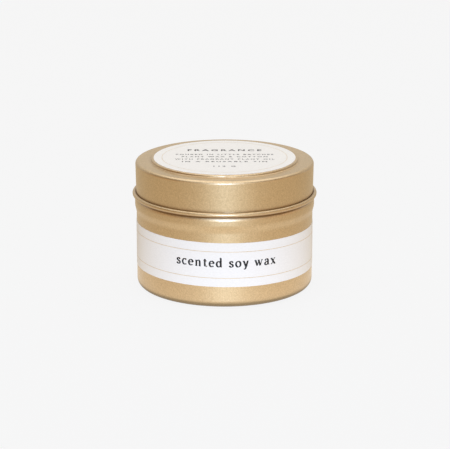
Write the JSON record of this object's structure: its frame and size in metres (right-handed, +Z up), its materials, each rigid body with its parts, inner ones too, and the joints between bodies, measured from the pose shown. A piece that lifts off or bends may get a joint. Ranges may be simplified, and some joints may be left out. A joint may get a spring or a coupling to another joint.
{
  "type": "candle tin",
  "caption": "Round slip-lid candle tin: a drawn cup holding poured wax and a wick, a lift-off lid with a raised panel, and paper labels.",
  "frame": {"origin": "middle of the base, on the plane that the tin stands on", "axes": "+Z up along the tin's axis, -Y towards the front of the wrap label, +X to its right"},
  "size_m": [0.068, 0.0678, 0.0479],
  "materials": {
    "gold_tinplate": "satin",
    "label_paper": "matte",
    "wax": "satin",
    "wick_cotton": "matte",
    "plated_steel": "satin",
    "sticker_foam": "matte"
  },
  "bodies": {
    "tin": {"tin_body": "gold_tinplate", "wrap_label": "label_paper", "base_label": "label_paper", "wax": "wax", "wick": "wick_cotton", "wick_sustainer": "plated_steel", "wick_sticker": "sticker_foam"},
    "lid": {"lid": "gold_tinplate", "lid_label": "label_paper"}
  },
  "joints": [
    {"name": "lid_lift", "type": "slide", "parent": "tin", "child": "lid", "axis": [0, 0, 1], "range_m": [0, 0.04]}
  ]
}
